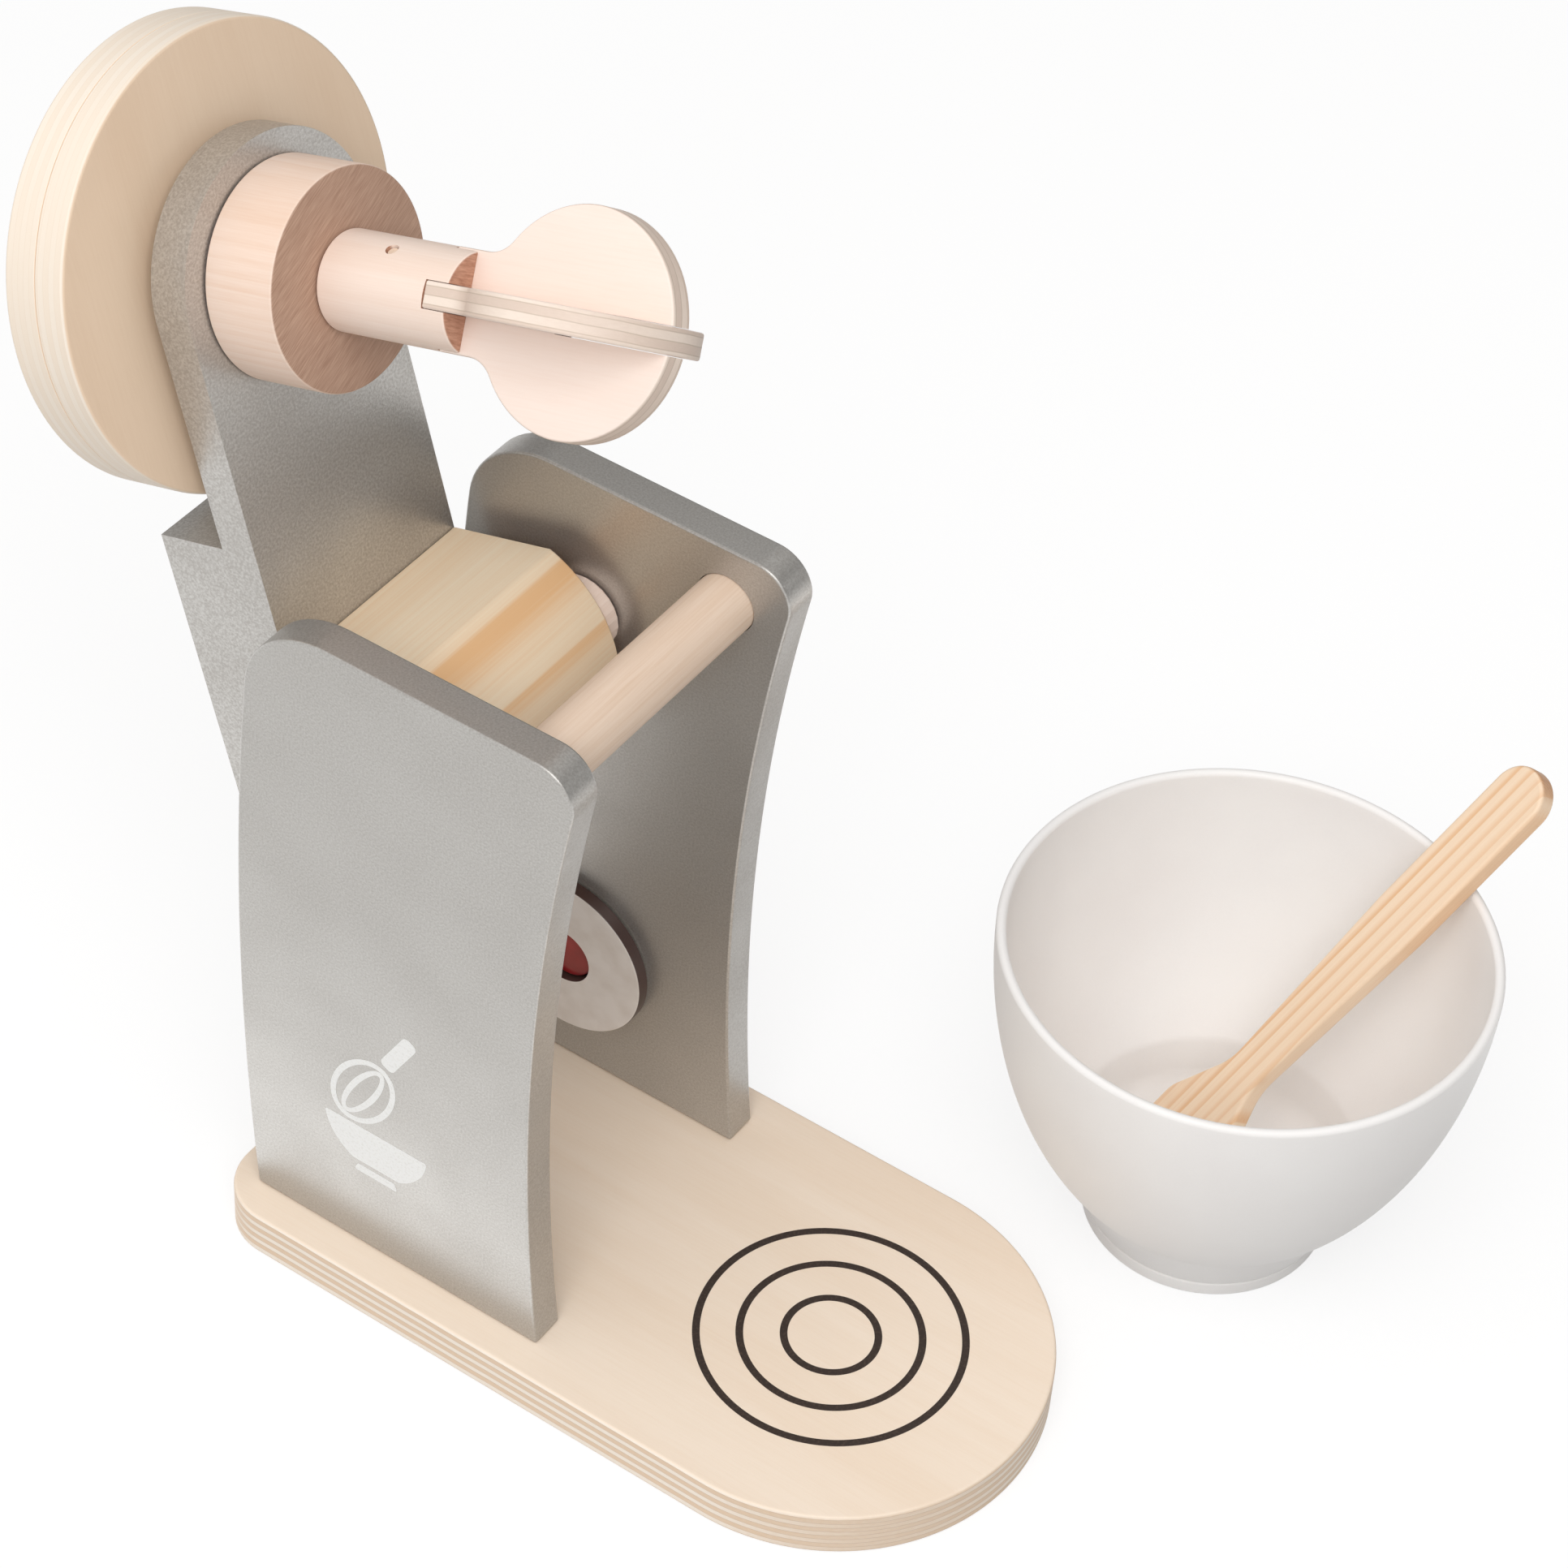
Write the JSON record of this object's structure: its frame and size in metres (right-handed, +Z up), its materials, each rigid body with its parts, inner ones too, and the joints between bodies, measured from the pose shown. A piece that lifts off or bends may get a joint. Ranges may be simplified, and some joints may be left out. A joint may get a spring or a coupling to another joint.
{
  "type": "toy stand mixer",
  "caption": "Toy stand mixer with a tilting head on a board base, a wheel-driven crossed-blade whisk, a side knob, and a loose bowl holding a spatula.",
  "frame": {"origin": "underside of the base board, at the centre of its half-round front, on the middle plane", "axes": "+Z up; +Y from the round front to the back; +X to the side that carries the knob"},
  "size_m": [0.2083, 0.2878, 0.2779],
  "materials": {
    "birch_plywood": "clear-lacquered birch plywood, satin",
    "silver_paint": "silver metallic spray paint on plywood",
    "turned_beech": "sanded turned beech",
    "pale_basswood": "sanded pale basswood and basswood plywood",
    "clear_pine": "clear-lacquered pine",
    "ramin_dowel": "sanded dowel",
    "red_gloss": "red gloss lacquer on wood",
    "white_gloss": "white lacquer on wood",
    "zinc_screw": "zinc-plated steel",
    "white_bowl": "matte white moulded plastic"
  },
  "bodies": {
    "stand": {"base_board": "birch_plywood", "left_side_panel": "silver_paint", "right_side_panel": "silver_paint", "front_cross_dowel": "ramin_dowel", "rear_stop_dowel": "ramin_dowel", "pivot_dowel": "ramin_dowel", "left_pivot_spacer": "pale_basswood", "right_pivot_spacer": "pale_basswood", "base_screw_1": "zinc_screw", "base_screw_2": "zinc_screw", "base_screw_3": "zinc_screw", "base_screw_4": "zinc_screw"},
    "head": {"head_arm": "silver_paint", "head_back_plate": "silver_paint", "hinge_block": "clear_pine", "head_screw_1": "zinc_screw", "head_screw_2": "zinc_screw"},
    "whisk": {"wheel_front_disc": "birch_plywood", "wheel_rear_disc": "birch_plywood", "wheel_spacer": "pale_basswood", "wheel_axle": "ramin_dowel", "whisk_hub": "turned_beech", "whisk_shaft": "pale_basswood", "whisk_blade_rooted": "pale_basswood", "whisk_blade_crossing": "pale_basswood", "whisk_pin": "ramin_dowel"},
    "control_knob": {"knob": "red_gloss", "knob_mark": "white_gloss", "knob_axle": "red_gloss", "knob_retaining_disc": "white_gloss"},
    "bowl": {"mixing_bowl": "white_bowl"},
    "spatula": {"spatula": "clear_pine"}
  },
  "joints": [
    {"name": "head_tilt", "type": "hinge", "parent": "stand", "child": "head", "pos_m": [0, 0.0958, 0.1512], "axis": [1, 0, 0], "range_deg": [0, 106.2]},
    {"name": "whisk_spin", "type": "hinge", "parent": "head", "child": "whisk", "pos_m": [0, 0.149, 0.2355], "axis": [0, -0.9603, 0.279], "continuous": true},
    {"name": "knob_turn", "type": "hinge", "parent": "stand", "child": "control_knob", "pos_m": [0.0415, 0.0965, 0.0476], "axis": [1, 0, 0], "continuous": true},
    {"name": "bowl_lift", "type": "slide", "parent": "stand", "child": "bowl", "axis": [0, 0, 1], "range_m": [0, 0.06]},
    {"name": "spatula_lift", "type": "slide", "parent": "bowl", "child": "spatula", "axis": [0, 0, 1], "range_m": [0, 0.09]}
  ]
}
